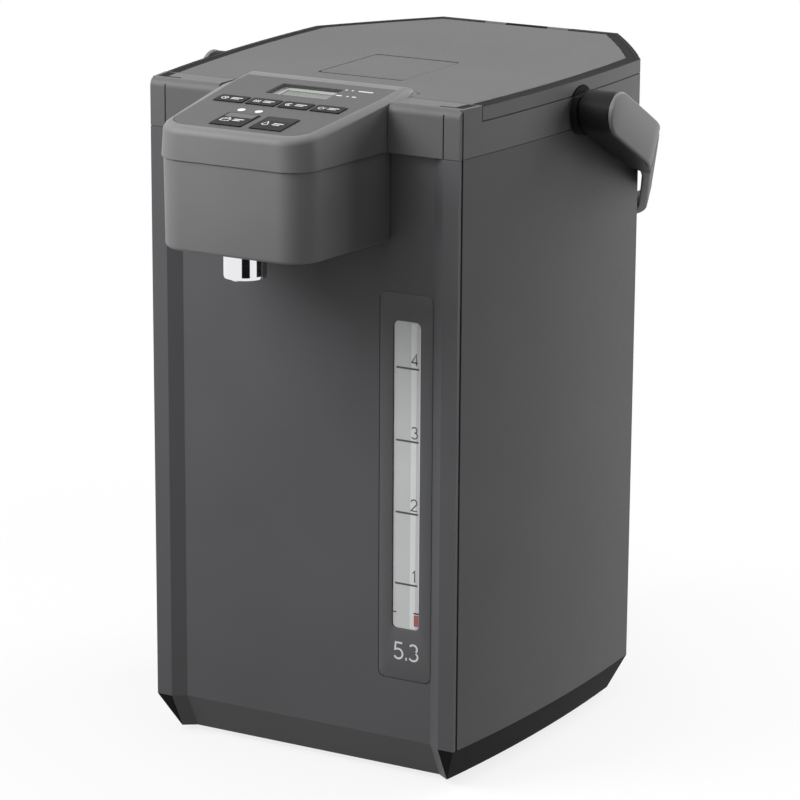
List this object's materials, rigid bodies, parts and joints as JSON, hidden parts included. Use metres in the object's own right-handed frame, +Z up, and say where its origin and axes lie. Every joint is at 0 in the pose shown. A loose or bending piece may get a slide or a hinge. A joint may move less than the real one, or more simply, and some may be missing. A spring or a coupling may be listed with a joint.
{
  "type": "electric thermo pot",
  "caption": "Electric hot water pot with a hinged lid, bail handle, dispensing head with spout and keys, water gauge window and turning base.",
  "frame": {"origin": "on the resting plane, on the axis of the turning base under the middle of the pot", "axes": "+Z up, -Y towards the front with the spout, +X to the viewer's right when facing the front"},
  "size_m": [0.274, 0.3725, 0.3915],
  "materials": {
    "grey_plastic": "satin grey moulded plastic",
    "metallic_grey": "satin metallic grey paint",
    "black_plastic": "black moulded plastic",
    "gloss_black": "gloss black plastic",
    "panel_grey": "dark grey printed sheet",
    "clear": "clear",
    "pale_plastic": "pale grey plastic",
    "silicone": "silicone rubber",
    "display": "display module",
    "circuit_board": "glass fibre board",
    "chrome": "chrome",
    "natural_plastic": "natural polypropylene",
    "stainless": "brushed stainless steel",
    "mica": "mica heater",
    "brass": "brass",
    "rubber": "rubber",
    "key_black": "black keys"
  },
  "bodies": {
    "pot": {"front_panel": "grey_plastic", "side_shell": "metallic_grey", "top_frame": "grey_plastic", "nose_upper_housing": "grey_plastic", "nose_lower_cover": "grey_plastic", "base_skirt": "black_plastic", "base_plate": "black_plastic", "container_support_ring": "black_plastic", "handle_ears": "black_plastic", "power_inlet": "black_plastic", "corner_trim_caps": "gloss_black", "gauge_frame": "panel_grey", "gauge_window": "clear", "gauge_backing": "pale_plastic", "gauge_tube": "clear", "gauge_tube_seals": "silicone", "control_panel_sheet": "panel_grey", "lcd_window": "clear", "lcd_module": "display", "lamp_lenses": "pale_plastic", "control_board": "circuit_board", "power_board": "circuit_board", "spout_nozzle": "chrome", "stop_valve": "natural_plastic", "pump_outlet_pipe": "silicone", "spout_pipe": "silicone", "inner_container": "stainless", "container_mouth": "stainless", "vacuum_jacket": "stainless", "container_flange_seal": "silicone", "heater_plate": "mica", "thermostat_and_sensor": "stainless", "pump_housing": "natural_plastic", "pump_motor": "stainless", "inlet_pins": "brass", "lid_hinge_pin": "stainless", "handle_pins": "stainless", "base_screws": "stainless"},
    "turntable": {"turning_base": "black_plastic", "rubber_feet": "rubber"},
    "impeller": {"pump_impeller": "natural_plastic"},
    "magnet": {"motor_magnet": "stainless"},
    "lid": {"lid_side_trim": "grey_plastic", "lid_rim": "gloss_black", "lid_top_plate": "grey_plastic", "lid_core": "black_plastic", "lid_lever_pin": "stainless", "inner_lid": "stainless", "lid_gasket": "silicone", "steam_valve": "black_plastic"},
    "lever": {"lid_lever": "grey_plastic"},
    "latch": {"lid_latch": "black_plastic"},
    "handle": {"handle_bail": "black_plastic", "handle_caps": "grey_plastic"},
    "key_timer_body": {"key_timer": "key_black"},
    "key_warm_body": {"key_warm": "key_black"},
    "key_saving_body": {"key_saving": "key_black"},
    "key_reboil_body": {"key_reboil": "key_black"},
    "key_unlock_body": {"key_unlock": "key_black"},
    "key_pour_body": {"key_pour": "key_black"}
  },
  "joints": [
    {"name": "turntable_spin", "type": "hinge", "parent": "pot", "child": "turntable", "pos_m": [0, 0, 0], "axis": [0, 0, 1], "continuous": true},
    {"name": "lid_hinge", "type": "hinge", "parent": "pot", "child": "lid", "pos_m": [0, 0.132, 0.3825], "axis": [-1, 0, 0], "range_deg": [0, 95]},
    {"name": "lid_lever_pivot", "type": "hinge", "parent": "lid", "child": "lever", "pos_m": [0, -0.01, 0.3826], "axis": [-1, 0, 0], "range_deg": [0, 35], "stiffness_Nm_per_rad": 0.05},
    {"name": "latch_slide", "type": "slide", "parent": "lid", "child": "latch", "axis": [0, 1, 0], "range_m": [0, 0.004]},
    {"name": "handle_pivot", "type": "hinge", "parent": "pot", "child": "handle", "pos_m": [0, -0.013, 0.369], "axis": [1, 0, 0], "range_deg": [0, 117.5]},
    {"name": "pump_drive", "type": "hinge", "parent": "pot", "child": "magnet", "pos_m": [0.034, -0.038, 0.02], "axis": [0, 0, 1], "continuous": true},
    {"name": "impeller_spin", "type": "hinge", "parent": "pot", "child": "impeller", "pos_m": [0.034, -0.038, 0.04], "axis": [0, 0, 1], "continuous": true},
    {"name": "key_timer_press", "type": "slide", "parent": "pot", "child": "key_timer_body", "axis": [0, 0.1197, -0.9928], "range_m": [0, 0.0008], "stiffness_N_per_m": 400},
    {"name": "key_warm_press", "type": "slide", "parent": "pot", "child": "key_warm_body", "axis": [0, 0.1197, -0.9928], "range_m": [0, 0.0008], "stiffness_N_per_m": 400},
    {"name": "key_saving_press", "type": "slide", "parent": "pot", "child": "key_saving_body", "axis": [0, 0.1197, -0.9928], "range_m": [0, 0.0008], "stiffness_N_per_m": 400},
    {"name": "key_reboil_press", "type": "slide", "parent": "pot", "child": "key_reboil_body", "axis": [0, 0.1197, -0.9928], "range_m": [0, 0.0008], "stiffness_N_per_m": 400},
    {"name": "key_unlock_press", "type": "slide", "parent": "pot", "child": "key_unlock_body", "axis": [0, 0.1197, -0.9928], "range_m": [0, 0.0008], "stiffness_N_per_m": 400},
    {"name": "key_pour_press", "type": "slide", "parent": "pot", "child": "key_pour_body", "axis": [0, 0.1197, -0.9928], "range_m": [0, 0.0008], "stiffness_N_per_m": 400}
  ],
  "couplings": [
    {"joint": "latch_slide", "follows": "lid_lever_pivot", "m_per_rad": 0.006548},
    {"joint": "impeller_spin", "follows": "pump_drive", "ratio": 1}
  ]
}
